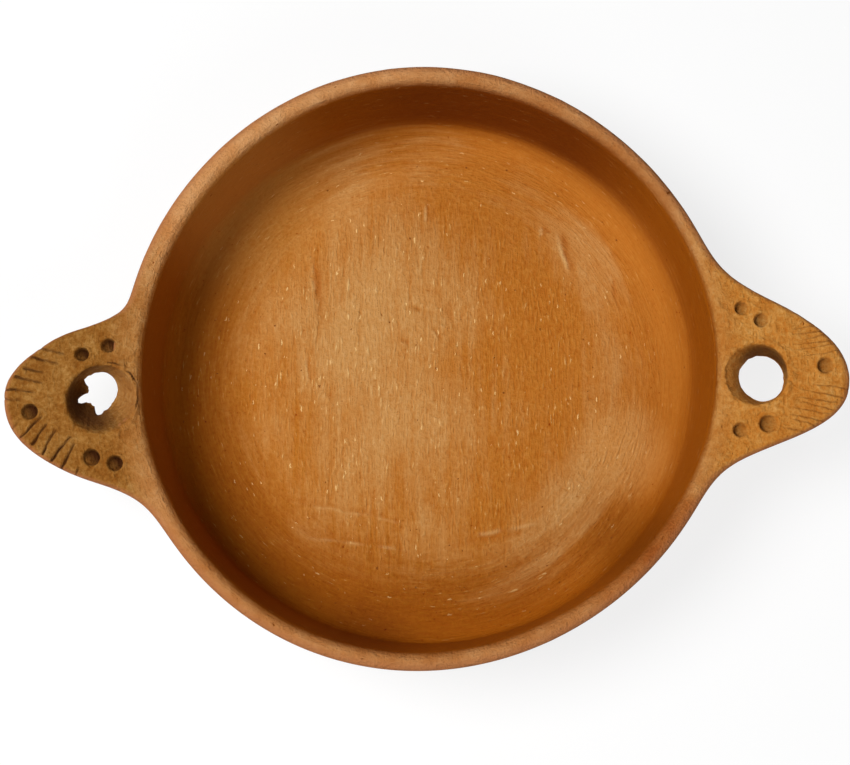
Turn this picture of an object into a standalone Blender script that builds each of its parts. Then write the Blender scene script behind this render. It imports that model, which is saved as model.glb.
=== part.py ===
"""Open tagine dish of hand-built terracotta with two pierced lugs, put together as a potter does it.

A round floor slab carries three wall coils and a rim coil, a thin coil fills the inner corner, and a lug
is luted to the wall on each side. Metres, +Z up, the flat base centred on the origin, lugs along X.
"""

import math

import bmesh
import bpy

# Dish
RIM_OUTER_RADIUS = 0.130
DISH_HEIGHT = 0.067
FLOOR_THICKNESS = 0.009
RIM_THICKNESS = 0.0082
WALL_FOOT_THICKNESS = 0.0090
WALL_LEAN = 0.0012
FOOT_ROUND = 0.014
RIM_CROWN = 0.0036
CORNER_ROUND = 0.011
CORNER_TOE = 0.0006

# Coils, pressed one on the other with a thin film of slip between them
WALL_COILS = ("lower_wall_coil", "middle_wall_coil", "upper_wall_coil")
RIM_COIL_HEIGHT = 0.013
COIL_CREST = 0.002
SLIP_GAP = 0.0003

# Lugs
LUG_FLANK_POWER = 2.15
LUG_ROOT_DEPTH = 0.018
LUG_TAIL_DEPTH = 0.003
LUG_TIP_THICKNESS = 0.011
LUG_TAIL = 0.0016
LUG_LIP = 0.0012
LUG_RISE = 0.002
LUG_EDGE_ROUND = 0.004

# Finger holes, dots and incised strokes on the lugs
HOLE_FOOT_DEPTH = 0.015
CUT_OVERRUN = 0.006
DOT_DEPTH = 0.0024
STROKE_WIDTH = 0.0014
STROKE_DEPTH = 0.0011
STROKE_START_DEPTH = 0.0004

# Each lug: the bearing of its tip, how far it stands out from the rim, and its half widths half-way out, on
# the clockwise and the anticlockwise side. Places on a lug are (out from the rim, anticlockwise of the tip).
# A dot is its place and its radius. A fan of strokes is the first stroke's start and end, the last
# stroke's start and end, and how many strokes there are.
LEFT_LUG = {
    "name": "left_lug",
    "bearing": math.radians(185.5),
    "reach": 0.0495,
    "half_widths": (0.0265, 0.0345),
    "hole_top": (0.0085, 0.0040),
    "hole_top_radius": 0.0130,
    "hole_foot": (0.0125, -0.0020),
    "hole_foot_radius": 0.0090,
    "dots": (
        ((0.0035, -0.0196), 0.0031),
        ((0.0143, -0.0167), 0.0030),
        ((0.0382, 0.0057), 0.0035),
        ((0.0134, 0.0277), 0.0037),
        ((0.0037, 0.0311), 0.0034),
    ),
    "fans": (
        ((0.0238, -0.0185), (0.0330, -0.0220), (0.0410, 0.0005), (0.0510, -0.0012), 6),
        ((0.0350, 0.0095), (0.0440, 0.0165), (0.0170, 0.0210), (0.0260, 0.0330), 6),
    ),
}
RIGHT_LUG = {
    "name": "right_lug",
    "bearing": math.radians(-3.0),
    "reach": 0.0497,
    "half_widths": (0.0262, 0.0316),
    "hole_top": (0.0114, 0.0020),
    "hole_top_radius": 0.0128,
    "hole_foot": (0.0160, 0.0020),
    "hole_foot_radius": 0.0100,
    "dots": (
        ((0.0042, 0.0297), 0.0029),
        ((0.0126, 0.0249), 0.0031),
        ((0.0402, 0.0068), 0.0035),
        ((0.0170, -0.0192), 0.0039),
        ((0.0054, -0.0224), 0.0031),
    ),
    "fans": (
        ((0.0250, 0.0215), (0.0370, 0.0245), (0.0300, 0.0110), (0.0460, 0.0140), 5),
        ((0.0337, -0.0010), (0.0510, -0.0045), (0.0235, -0.0190), (0.0340, -0.0220), 6),
    ),
}

# Mesh fineness
RING_STEPS = 64
SIDE_STEPS = 3
JOINT_STEPS = 4
CROWN_STEPS = 8
CORNER_STEPS = 6
SHOULDER_STEPS = 3
EDGE_STEPS = 3
LUG_STEPS = 26
HOLE_STEPS = 32
DOT_STEPS = 12
SHARP_ANGLE = math.radians(35)
WELD = 1e-6

# Fired clay, by place on the dish: linear colour and roughness
FLOOR_CLAY = ((0.47, 0.21, 0.07), 0.50)
WALL_CLAY = ((0.44, 0.16, 0.04), 0.55)
RIM_CLAY = ((0.45, 0.20, 0.07), 0.75)
LUG_CLAY = ((0.41, 0.18, 0.06), 0.80)


def steps(first, last, count):
    """Evenly spaced values from first to last, both included."""
    return [first + (last - first) * i / count for i in range(count + 1)]


def between(first, last, share):
    return tuple(a + (b - a) * share for a, b in zip(first, last))


def wall_share(height):
    """How far up the wall a height lies: 0 on the floor, 1 at the rim."""
    return (height - FLOOR_THICKNESS) / (DISH_HEIGHT - FLOOR_THICKNESS)


def wall_face(height):
    return RIM_OUTER_RADIUS - WALL_LEAN * (1 - wall_share(height))


def outer_radius(height):
    """Radius of the dish's outside: the leaning wall, drawn in by a quarter round at the foot."""
    below = max(0.0, 1 - height / FOOT_ROUND)
    return wall_face(height) - FOOT_ROUND * (1 - math.sqrt(1 - below**2))


def inner_radius(height):
    share = wall_share(height)
    return wall_face(height) - WALL_FOOT_THICKNESS - (RIM_THICKNESS - WALL_FOOT_THICKNESS) * share


def crown_point(angle, clearance=0.0):
    """A point (radius, height) of the rim's rounded top, moved out along its normal by a clearance."""
    half = RIM_THICKNESS / 2
    normal_out = math.cos(angle) / half
    normal_up = math.sin(angle) / RIM_CROWN
    length = math.hypot(normal_out, normal_up)
    radius = RIM_OUTER_RADIUS - half + half * math.cos(angle) + clearance * normal_out / length
    height = DISH_HEIGHT - RIM_CROWN + RIM_CROWN * math.sin(angle) + clearance * normal_up / length
    return radius, height


def coil_joint(level, crest):
    """The joint on top of a coil, from the outer face to the inner: a low crest that the next coil grips."""
    outer, inner = outer_radius(level), inner_radius(level)
    points = []
    for across in steps(1.0, -1.0, JOINT_STEPS):
        radius = (outer + inner) / 2 + (outer - inner) / 2 * across
        points.append((radius, level + crest * (1 - across**2)))
    return points


def lift(points, rise):
    return [(radius, height + rise) for radius, height in points]


def clay_material(name, clay):
    colour, roughness = clay
    material = bpy.data.materials.new(name)
    material.use_nodes = True
    shader = material.node_tree.nodes["Principled BSDF"]
    shader.inputs["Base Color"].default_value = (*colour, 1.0)
    shader.inputs["Roughness"].default_value = roughness
    shader.inputs["Metallic"].default_value = 0.0
    return material


def make_object(name, bm, clay=None):
    """Closes the mesh's normals outwards and links it as an object. A piece with no clay is a cutter."""
    bmesh.ops.recalc_face_normals(bm, faces=bm.faces)
    mesh = bpy.data.meshes.new(name)
    bm.to_mesh(mesh)
    bm.free()
    piece = bpy.data.objects.new(name, mesh)
    bpy.context.scene.collection.objects.link(piece)
    if clay:
        mesh.shade_smooth()
        mesh.set_sharp_from_angle(angle=SHARP_ANGLE)
        mesh.materials.append(clay_material(name + "_clay", clay))
    else:
        piece.hide_render = True
        piece.display_type = "WIRE"
    return piece


def turned(name, section, clay):
    """A ring or disc: a section of (radius, height) points carried once round the dish's axis."""
    bm = bmesh.new()
    points = [bm.verts.new((radius, 0.0, height)) for radius, height in section]
    edges = [bm.edges.new(pair) for pair in zip(points, points[1:])]
    if section[0][0] > 0:
        edges.append(bm.edges.new((points[-1], points[0])))
    bmesh.ops.spin(
        bm,
        geom=points + edges,
        axis=(0.0, 0.0, 1.0),
        angle=2 * math.pi,
        steps=RING_STEPS,
        use_merge=True,
    )
    bmesh.ops.remove_doubles(bm, verts=bm.verts, dist=WELD)
    return make_object(name, bm, clay)


def add_skin(bm, loops):
    """A closed body through a row of loops with equal numbers of points, capped at both ends."""
    rows = [[bm.verts.new(point) for point in loop] for loop in loops]
    for row, following in zip(rows, rows[1:]):
        for i in range(len(row)):
            bm.faces.new((row[i - 1], row[i], following[i], following[i - 1]))
    bm.faces.new(rows[0])
    bm.faces.new(rows[-1])


def cut(piece, cutter):
    difference = piece.modifiers.new(cutter.name, "BOOLEAN")
    difference.operation = "DIFFERENCE"
    difference.solver = "EXACT"
    difference.object = cutter


def make_floor_slab():
    """The thick round slab the dish is raised on, with its edge rounded under to the flat base."""
    edge = [(outer_radius(height), height) for height in steps(0.0, FLOOR_THICKNESS, SIDE_STEPS)]
    return turned("floor_slab", [(0.0, 0.0), *edge, (0.0, FLOOR_THICKNESS)], FLOOR_CLAY)


def make_coil(name, bottom, top, bottom_crest):
    """A wall coil between two joint levels, hollowed below over the coil or slab that it sits on."""
    outer = [(outer_radius(height), height) for height in steps(bottom + SLIP_GAP, top, SIDE_STEPS)]
    inner = [(inner_radius(height), height) for height in steps(top, bottom + SLIP_GAP, SIDE_STEPS)]
    crest = coil_joint(top, COIL_CREST)
    seat = lift(coil_joint(bottom, bottom_crest), SLIP_GAP)
    return turned(name, outer[:-1] + crest + inner[1:-1] + seat[:0:-1], WALL_CLAY)


def make_rim_coil(bottom):
    """The top coil, with its rounded crown."""
    crown = [crown_point(angle) for angle in steps(0.0, math.pi, CROWN_STEPS)]
    seat = lift(coil_joint(bottom, COIL_CREST), SLIP_GAP)
    return turned("rim_coil", crown + seat[::-1], RIM_CLAY)


def make_corner_coil():
    """The thin coil pressed into the corner of floor and wall and smoothed to a hollow round."""
    floor = FLOOR_THICKNESS + SLIP_GAP
    start = floor + CORNER_TOE
    end = start + CORNER_ROUND
    wall = inner_radius(end) - SLIP_GAP - CORNER_TOE
    hollow = []
    for angle in steps(0.0, math.pi / 2, CORNER_STEPS):
        radius = wall - CORNER_ROUND + CORNER_ROUND * math.sin(angle)
        hollow.append((radius, end - CORNER_ROUND * math.cos(angle)))
    seat = [(inner_radius(height) - SLIP_GAP, height) for height in (end, floor)]
    return turned("corner_coil", hollow + seat + [(wall - CORNER_ROUND, floor)], WALL_CLAY)


def half_angle(lug, turn):
    half_width = lug["half_widths"][turn > 0]
    return half_width / (RIM_OUTER_RADIUS + lug["reach"] / 2)


def lug_bell(lug, turn):
    """How far out the lug's edge lies at a turn from its tip, as a share of its reach."""
    return 0.5 ** (abs(turn / half_angle(lug, turn)) ** LUG_FLANK_POWER)


def lug_end(lug, side):
    """The turn at which a flank has run down to the thin tail that ends it."""
    halvings = math.log2(lug["reach"] / LUG_TAIL)
    return side * half_angle(lug, side) * halvings ** (1 / LUG_FLANK_POWER)


def lug_top(lug, radius):
    return DISH_HEIGHT + LUG_RISE * (radius - RIM_OUTER_RADIUS) / lug["reach"]


def lug_section(lug, turn):
    """The lug's section at a turn: its seat on the wall and rim's shoulder, its top, edge and underside."""
    bell = lug_bell(lug, turn)
    edge_radius = RIM_OUTER_RADIUS + lug["reach"] * bell
    root = RIM_CROWN + LUG_TAIL_DEPTH + (LUG_ROOT_DEPTH - RIM_CROWN - LUG_TAIL_DEPTH) * math.sqrt(bell)
    thickness = min(LUG_TIP_THICKNESS, root)
    shoulder_end = math.asin(max(0.0, 1 - LUG_LIP / RIM_CROWN))
    section = []
    for height in steps(DISH_HEIGHT - root, DISH_HEIGHT - RIM_CROWN, SIDE_STEPS)[:-1]:
        section.append((outer_radius(height) + SLIP_GAP, height))
    section += [crown_point(angle, SLIP_GAP) for angle in steps(0.0, shoulder_end, SHOULDER_STEPS)]
    lip = section[-1][0]
    section.append((lip, lug_top(lug, lip)))
    rounding = min(LUG_EDGE_ROUND, (edge_radius - RIM_OUTER_RADIUS - SLIP_GAP) / 2, thickness / 3)
    upper = lug_top(lug, edge_radius) - rounding
    lower = lug_top(lug, edge_radius) - thickness + rounding
    for level, first in ((upper, math.pi / 2), (lower, 0.0)):
        for angle in steps(first, first - math.pi / 2, EDGE_STEPS):
            out = edge_radius - rounding + rounding * math.cos(angle)
            section.append((out, level + rounding * math.sin(angle)))
    return section


def lug_place(lug, place, height):
    """World point of a place on the lug, given out from the rim and anticlockwise of the tip."""
    out, side = RIM_OUTER_RADIUS + place[0], place[1]
    cosine, sine = math.cos(lug["bearing"]), math.sin(lug["bearing"])
    return (out * cosine - side * sine, out * sine + side * cosine, height)


def place_top(lug, place):
    return lug_top(lug, math.hypot(RIM_OUTER_RADIUS + place[0], place[1]))


def make_hole_cutter(lug):
    """The finger hole: a round taper that leans outwards as it goes down."""
    bm = bmesh.new()
    deepest = max(LUG_ROOT_DEPTH, LUG_TIP_THICKNESS) + CUT_OVERRUN
    loops = []
    for depth in (-LUG_RISE - CUT_OVERRUN, deepest):
        share = depth / HOLE_FOOT_DEPTH
        centre = between(lug["hole_top"], lug["hole_foot"], share)
        radius = lug["hole_top_radius"] + (lug["hole_foot_radius"] - lug["hole_top_radius"]) * share
        loop = []
        for angle in steps(0.0, 2 * math.pi, HOLE_STEPS)[:-1]:
            place = (centre[0] + radius * math.cos(angle), centre[1] + radius * math.sin(angle))
            loop.append(lug_place(lug, place, DISH_HEIGHT - depth))
        loops.append(loop)
    add_skin(bm, loops)
    return make_object(lug["name"] + "_hole_cutter", bm)


def make_dot_cutter(lug):
    """The row of round dots pressed into the lug's top with a stick's end."""
    bm = bmesh.new()
    for place, radius in lug["dots"]:
        made = bmesh.ops.create_uvsphere(bm, u_segments=DOT_STEPS, v_segments=DOT_STEPS // 2, radius=radius)
        bmesh.ops.scale(bm, vec=(1.0, 1.0, DOT_DEPTH / radius), verts=made["verts"])
        bmesh.ops.translate(bm, vec=lug_place(lug, place, place_top(lug, place)), verts=made["verts"])
    return make_object(lug["name"] + "_dot_cutter", bm)


def make_stroke_cutter(lug):
    """The fans of knife strokes: V cuts that deepen as they run out over the lug's edge."""
    bm = bmesh.new()
    for first_start, first_end, last_start, last_end, count in lug["fans"]:
        for share in steps(0.0, 1.0, count - 1):
            start = between(first_start, last_start, share)
            end = between(first_end, last_end, share)
            along = (end[0] - start[0], end[1] - start[1])
            length = math.hypot(*along)
            across = (-along[1] / length, along[0] / length)
            loops = []
            for place, depth in ((start, STROKE_START_DEPTH), (end, STROKE_DEPTH)):
                top = place_top(lug, place)
                half = STROKE_WIDTH / 2 * (1 + STROKE_DEPTH / depth)
                left = (place[0] + across[0] * half, place[1] + across[1] * half)
                right = (place[0] - across[0] * half, place[1] - across[1] * half)
                loop = [
                    lug_place(lug, left, top + STROKE_DEPTH),
                    lug_place(lug, right, top + STROKE_DEPTH),
                    lug_place(lug, place, top - depth),
                ]
                loops.append(loop)
            add_skin(bm, loops)
    return make_object(lug["name"] + "_stroke_cutter", bm)


def make_lug(lug):
    """A lug: sections side by side round the wall, then the hole, the dots and the strokes cut from it."""
    bm = bmesh.new()
    loops = []
    for turn in steps(lug_end(lug, -1), lug_end(lug, 1), LUG_STEPS):
        angle = lug["bearing"] + turn
        cosine, sine = math.cos(angle), math.sin(angle)
        loops.append([(radius * cosine, radius * sine, height) for radius, height in lug_section(lug, turn)])
    add_skin(bm, loops)
    return make_object(lug["name"], bm, LUG_CLAY)


def main():
    for old in list(bpy.data.objects):
        bpy.data.objects.remove(old)
    make_floor_slab()
    make_corner_coil()
    levels = steps(FLOOR_THICKNESS, DISH_HEIGHT - RIM_COIL_HEIGHT, len(WALL_COILS))
    for i, name in enumerate(WALL_COILS):
        upper_coil = make_coil(name, levels[i], levels[i + 1], COIL_CREST if i else 0.0)
    rim_coil = make_rim_coil(levels[-1])
    for lug in (LEFT_LUG, RIGHT_LUG):
        piece = make_lug(lug)
        hole = make_hole_cutter(lug)
        for holed in (piece, rim_coil, upper_coil):
            cut(holed, hole)
        cut(piece, make_dot_cutter(lug))
        cut(piece, make_stroke_cutter(lug))


main()
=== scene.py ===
"""Looks of an open tagine dish of hand-built terracotta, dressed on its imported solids."""

import bpy
import numpy as np
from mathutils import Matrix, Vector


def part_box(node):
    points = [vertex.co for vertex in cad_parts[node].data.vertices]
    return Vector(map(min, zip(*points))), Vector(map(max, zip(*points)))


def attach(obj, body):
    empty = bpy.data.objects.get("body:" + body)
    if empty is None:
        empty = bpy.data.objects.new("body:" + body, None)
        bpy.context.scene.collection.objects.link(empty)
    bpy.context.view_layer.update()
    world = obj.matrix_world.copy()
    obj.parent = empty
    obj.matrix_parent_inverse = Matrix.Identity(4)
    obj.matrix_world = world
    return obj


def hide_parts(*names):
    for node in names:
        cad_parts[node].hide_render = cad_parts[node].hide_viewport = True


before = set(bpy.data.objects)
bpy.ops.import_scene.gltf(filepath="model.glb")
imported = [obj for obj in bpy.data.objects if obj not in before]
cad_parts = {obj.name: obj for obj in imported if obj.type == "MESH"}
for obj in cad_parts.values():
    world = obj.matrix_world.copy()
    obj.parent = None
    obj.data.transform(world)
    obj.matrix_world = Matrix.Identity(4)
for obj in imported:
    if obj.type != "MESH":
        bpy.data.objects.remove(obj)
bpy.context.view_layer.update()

# Floor slab
# A round slab of coarse red clay, patted flat, that the dish is raised on. While leather-hard its top is
# rubbed with a smooth stone, up and down in the middle and round and round along the wall. The foot is
# rounded under.
MM = 0.001
FLOOR_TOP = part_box("floor_slab")[1].z
RIM_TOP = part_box("rim_coil")[1].z
RIM_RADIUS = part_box("rim_coil")[1].y
RIM_SPREAD = 0.27 * MM
# Radius of the inner face at the floor and how much it widens up to the rim, in mm.
INNER_RADIUS, INNER_WIDENS = 119.8, 2.3
WALL_LEAN = 1.2 * MM
FOOT_ROUND = 14 * MM
REBATE = 1.2 * MM
FLOOR_ROWS, FOOT_ROWS, BASE_ROWS = 172, 16, 8
COLUMNS = np.linspace(0.0, 2 * np.pi, 480, endpoint=False)
# How the rim's outline and opening stray from circles: number of waves round them, height in mm and phase
# in degrees.
RIM_WAVES = ((1, 0.62, -5), (2, 0.58, 62), (3, 0.71, -26), (4, 0.39, -9))
OPENING_WAVES = ((1, 1.63, -19), (2, 0.95, 81), (3, 1.04, -21), (4, 0.26, 2))
# Marks left in the floor: place, length, width and depth in mm, the way they run in degrees, and how much
# of a burr each has.
FLOOR_MARKS = (
    (-49.4, 39.7, 27.0, 3.4, 0.45, 93, 0.5),
    (-49.1, 22.4, 9.0, 2.0, 0.3, 86, 0.7),
    (-30.4, 26.4, 20.0, 1.7, 0.25, 88, 0.2),
    (-34.4, 42.5, 9.0, 2.2, 0.2, 86, 1.2),
    (65.7, 59.9, 17.0, 3.6, 0.5, 104, 1.1),
    (54.9, 69.4, 4.0, 2.4, 0.25, 90, 1.0),
    (87.6, 42.4, 10.5, 2.0, 0.2, 94, 1.1),
    (1.5, 79.5, 12.0, 2.0, 0.2, 88, 1.0),
    (-52.9, 4.4, 12.5, 2.0, 0.2, 93, 0.9),
    (-4.0, 33.0, 5.5, 2.4, 0.35, 158, 0.5),
    (5.3, 21.7, 6.0, 2.2, 0.35, 116, 0.6),
    (-9.3, 18.0, 4.0, 2.6, 0.35, 153, 0.4),
    (9.7, 31.6, 9.0, 4.0, 0.2, 130, 0.3),
    (-34.2, -59.7, 47.0, 2.4, 0.1, 169, 0.4),
    (-30.6, -73.4, 39.0, 2.8, 0.12, 173, 0.7),
    (35.0, -71.0, 43.0, 3.0, 0.12, 12, 0.7),
)


def rise(start, end, value):
    """Eases from 0 at start to 1 at end along a smooth S."""
    share = np.clip((value - start) / (end - start), 0.0, 1.0)
    return share * share * (3 - 2 * share)


def lumps(points, size, seed):
    """Smooth lumps from -1 to 1: chance heights on a cubic lattice of this size, eased between its corners.
    The chance is the fraction of a large sine, so that it is the same in every run."""
    scaled = points / size
    cell = np.floor(scaled)
    ease = scaled - cell
    ease = ease * ease * (3 - 2 * ease)
    height = 0.0
    for corner in np.ndindex(2, 2, 2):
        chance = np.sin((cell + corner) @ (127.1, 311.7, 74.7) + seed) * 43758.5453
        weight = np.prod(np.where(np.array(corner, bool), ease, 1 - ease), axis=-1)
        height = height + weight * (chance - np.floor(chance))
    return 2 * height - 1


def around(radius, bearing, height):
    """Points at a radius and bearing about the dish's axis, at a height."""
    radius, bearing, height = np.broadcast_arrays(radius, bearing, height)
    return np.stack([radius * np.cos(bearing), radius * np.sin(bearing), height], axis=-1)


def stray(bearing, waves):
    """Sum of slow cosine waves round the dish."""
    return sum(size * MM * np.cos(count * bearing - np.radians(phase)) for count, size, phase in waves)


def rim_outline(bearing):
    """Plan of the rim: a circle plus four slow waves round it."""
    return RIM_RADIUS + RIM_SPREAD + stray(bearing, RIM_WAVES)


def outside(bearing, height):
    """Outer face: the outline leaning in towards the floor, a quarter round at the foot, and shallow swells
    and dents where the coils were pinched together by hand."""
    share = (height - FLOOR_TOP) / (RIM_TOP - FLOOR_TOP)
    below = np.clip(1 - height / FOOT_ROUND, 0.0, 1.0)
    foot = FOOT_ROUND * (1 - np.sqrt(1 - below**2))
    face = around(RIM_RADIUS, bearing, height)
    pinched = 0.45 * MM * lumps(face * (1, 1, 1.6), 17 * MM, 3) + 0.15 * MM * lumps(face, 5 * MM, 4)
    return rim_outline(bearing) - WALL_LEAN * (1 - share) - foot + pinched


def inside(bearing, height):
    """Inner face: a circle at the floor that widens up to the rim and takes on the opening's waves there,
    rubbed to broad flats 0.3 mm deep."""
    share = np.clip((height - FLOOR_TOP) / (RIM_TOP - FLOOR_TOP), 0.0, 1.0)
    face = around(RIM_RADIUS, bearing, height)
    rubbed = 0.3 * MM * lumps(face * (1, 1, 1.4), 30 * MM, 5)
    return (INNER_RADIUS + INNER_WIDENS * share) * MM + share * stray(bearing, OPENING_WAVES) + rubbed


def corner_round(bearing):
    """Size of the hollow round in the corner: 4 mm at the far and near side of the dish, 10 mm at the left
    lug and 15 mm at the right one, going over smoothly."""
    at_lugs = 6.0 * np.abs(np.cos(bearing)) ** 1.5
    at_right = 5.0 * rise(-0.2, 1.0, np.cos(bearing - 0.1))
    return (4.0 + at_lugs + at_right) * MM


def old_marks(plan):
    """Old marks: each a shallow bell-shaped scoop that wanders a little, with a burr pushed up along one
    side. Gives their depth, the painted shade that darkens the scoops and the painted highlight that pales
    the burrs."""
    flat = plan * (1, 1, 0)
    bend = 0.5 * MM * lumps(flat, 6 * MM, 10)
    broken = rise(-0.5, 0.4, lumps(flat, 4 * MM, 13))
    depth, painted_shade, painted_highlight = 0.0, 0.0, 0.0
    for x, y, length, width, deepest, run, burr in FLOOR_MARKS:
        cosine, sine = np.cos(np.radians(run)), np.sin(np.radians(run))
        aside, ahead = plan[..., 0] - x * MM, plan[..., 1] - y * MM
        along = (aside * cosine + ahead * sine) / (length * MM / 2)
        across = (ahead * cosine - aside * sine + bend) / (width * MM / 2)
        ends = np.exp(-(along**4))
        scoop = ends * np.exp(-(across**2))
        ridge = burr * ends * np.exp(-(((across - 1.3) / 0.5) ** 2))
        depth = depth + (deepest * scoop - 0.25 * ridge) * MM
        painted_shade = np.maximum(painted_shade, scoop * min(1.0, 2.2 * deepest))
        painted_highlight = np.maximum(painted_highlight, 0.55 * ridge * broken)
    return depth, painted_shade, painted_highlight


def floor_height(plan):
    """Floor: broad unevenness, the rubbing stone's fine furrows, straight in the middle and turning round
    the axis in the border, and a few old marks."""
    flat = plan * (1, 1, 0)
    radius = np.hypot(flat[..., 0], flat[..., 1])
    bearing = np.arctan2(flat[..., 1], flat[..., 0])
    border = rise(65 * MM, 100 * MM, radius)
    straight = lumps(flat * (1, 0.16, 1), 3.3 * MM, 6)
    drawn_out = 18 * MM
    turned = np.stack([radius, drawn_out * np.cos(bearing), drawn_out * np.sin(bearing)], axis=-1)
    turned = lumps(turned, 3.3 * MM, 7)
    height = FLOOR_TOP + 0.35 * MM * lumps(flat, 48 * MM, 8) + 0.1 * MM * lumps(flat, 15 * MM, 9)
    return height + 0.03 * MM * (straight + (turned - straight) * border) - old_marks(plan)[0]


def floor_toe(bearing):
    """Where the floor ends and the corner's hollow round begins."""
    size = corner_round(bearing)
    radius = inside(bearing, FLOOR_TOP + size) - size
    return radius, floor_height(around(radius, bearing, 0.0))


def clay_piece(name, points, node, slot, material, poles=False, sharp=50, **masks):
    """Makes a closed piece from a grid of points: columns join round, and rows join last to first or,
    with poles, end in a point at each end. Masks are per-point values that the material reads."""
    rows, columns = points.shape[:2]
    index = np.arange(rows * columns).reshape(rows, columns)
    ring = index if poles else np.concatenate([index, index[:1]])
    ahead = np.roll(ring, -1, axis=1)
    faces = np.stack([ring[:-1], ahead[:-1], ahead[1:], ring[1:]], axis=-1).reshape(-1, 4).tolist()
    corners = points.reshape(-1, 3)
    if poles:
        pole = np.full(columns, len(corners))
        faces += np.stack([pole, ahead[0], index[0]], axis=-1).tolist()
        faces += np.stack([pole + 1, index[-1], ahead[-1]], axis=-1).tolist()
        corners = np.concatenate([corners, points[[0, -1]].mean(axis=1)])
    mesh = bpy.data.meshes.new(name)
    mesh.from_pydata(corners.tolist(), [], faces)
    for mask, values in masks.items():
        layer = mesh.attributes.new(mask, "FLOAT", "POINT")
        at_poles = values[[0, -1]].mean(axis=1) if poles else []
        layer.data.foreach_set("value", np.concatenate([np.ravel(values), at_poles]).astype(np.float32))
    mesh.shade_smooth()
    mesh.set_sharp_from_angle(angle=np.radians(sharp))
    mesh.materials.append(material)
    piece = bpy.data.objects.new(name, mesh)
    bpy.context.scene.collection.objects.link(piece)
    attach(piece, "root")
    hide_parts(node)
    return piece


def linear(code):
    """Linear colour of an sRGB hex code."""
    channels = np.array([int(code[i : i + 2], 16) for i in (1, 3, 5)]) / 255
    return (*np.where(channels <= 0.04045, channels / 12.92, ((channels + 0.055) / 1.055) ** 2.4), 1.0)


def add(tree, kind, inputs=None, **settings):
    """Adds a shader node of a kind, makes its settings, and gives each input its value or the node or
    socket that it is linked to. Inputs go by number: a MapRange reads from 1 to 2 and gives 3 to 4, each
    0 to 1 if not said, and a Mix has its share at 0, values at 2, 3, vectors at 4, 5, colours at 6, 7."""
    made = tree.nodes.new("ShaderNode" + kind)
    for key, value in settings.items():
        setattr(made, key, value)
    for key, value in (inputs or {}).items():
        if isinstance(value, bpy.types.Node):
            value = value.outputs[0]
        if isinstance(value, bpy.types.NodeSocket):
            tree.links.new(value, made.inputs[key])
        else:
            made.inputs[key].default_value = value
    return made


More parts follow.
